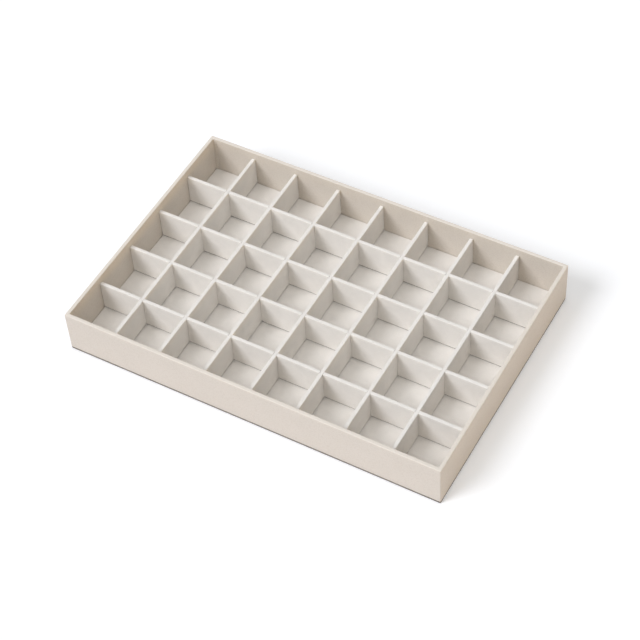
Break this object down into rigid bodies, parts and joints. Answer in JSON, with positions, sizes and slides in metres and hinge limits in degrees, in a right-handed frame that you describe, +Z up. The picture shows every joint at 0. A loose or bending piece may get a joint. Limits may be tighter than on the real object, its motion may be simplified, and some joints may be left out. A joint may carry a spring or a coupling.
{
  "type": "jewelry tray",
  "caption": "Shallow open jewelry tray, a board box wrapped in leatherette, split into equal compartments by a lift-out crate of interlocking suede covered dividers.",
  "frame": {"origin": "centre of the underside, on the surface that the tray stands on", "axes": "+X along the long side, +Y from the front to the back, +Z up out of the compartments"},
  "size_m": [0.35, 0.238, 0.043],
  "materials": {
    "leatherette": "warm beige, fine embossed grain, satin",
    "suede_cloth": "off-white short nap, matt",
    "felt": "dark taupe, matt",
    "fibreboard": "plain sanded board",
    "greyboard": "plain grey card"
  },
  "bodies": {
    "tray": {"base_board": "fibreboard", "front_wall_board": "fibreboard", "back_wall_board": "fibreboard", "left_wall_board": "fibreboard", "right_wall_board": "fibreboard", "leatherette_wrap": "leatherette", "floor_card": "greyboard", "floor_lining": "suede_cloth", "underside_felt": "felt"},
    "long_dividers": {"long_divider_core_1": "greyboard", "long_divider_core_2": "greyboard", "long_divider_core_3": "greyboard", "long_divider_core_4": "greyboard", "long_divider_cover_1": "suede_cloth", "long_divider_cover_2": "suede_cloth", "long_divider_cover_3": "suede_cloth", "long_divider_cover_4": "suede_cloth"},
    "cross_divider_1": {"cross_divider_core_1": "greyboard", "cross_divider_cover_1": "suede_cloth"},
    "cross_divider_2": {"cross_divider_core_2": "greyboard", "cross_divider_cover_2": "suede_cloth"},
    "cross_divider_3": {"cross_divider_core_3": "greyboard", "cross_divider_cover_3": "suede_cloth"},
    "cross_divider_4": {"cross_divider_core_4": "greyboard", "cross_divider_cover_4": "suede_cloth"},
    "cross_divider_5": {"cross_divider_core_5": "greyboard", "cross_divider_cover_5": "suede_cloth"},
    "cross_divider_6": {"cross_divider_core_6": "greyboard", "cross_divider_cover_6": "suede_cloth"},
    "cross_divider_7": {"cross_divider_core_7": "greyboard", "cross_divider_cover_7": "suede_cloth"}
  },
  "joints": [
    {"name": "crate_lift", "type": "slide", "parent": "tray", "child": "long_dividers", "axis": [0, 0, 1], "range_m": [0, 0.04]},
    {"name": "cross_divider_1_lift", "type": "slide", "parent": "long_dividers", "child": "cross_divider_1", "axis": [0, 0, 1], "range_m": [0, 0.04]},
    {"name": "cross_divider_2_lift", "type": "slide", "parent": "long_dividers", "child": "cross_divider_2", "axis": [0, 0, 1], "range_m": [0, 0.04]},
    {"name": "cross_divider_3_lift", "type": "slide", "parent": "long_dividers", "child": "cross_divider_3", "axis": [0, 0, 1], "range_m": [0, 0.04]},
    {"name": "cross_divider_4_lift", "type": "slide", "parent": "long_dividers", "child": "cross_divider_4", "axis": [0, 0, 1], "range_m": [0, 0.04]},
    {"name": "cross_divider_5_lift", "type": "slide", "parent": "long_dividers", "child": "cross_divider_5", "axis": [0, 0, 1], "range_m": [0, 0.04]},
    {"name": "cross_divider_6_lift", "type": "slide", "parent": "long_dividers", "child": "cross_divider_6", "axis": [0, 0, 1], "range_m": [0, 0.04]},
    {"name": "cross_divider_7_lift", "type": "slide", "parent": "long_dividers", "child": "cross_divider_7", "axis": [0, 0, 1], "range_m": [0, 0.04]}
  ]
}
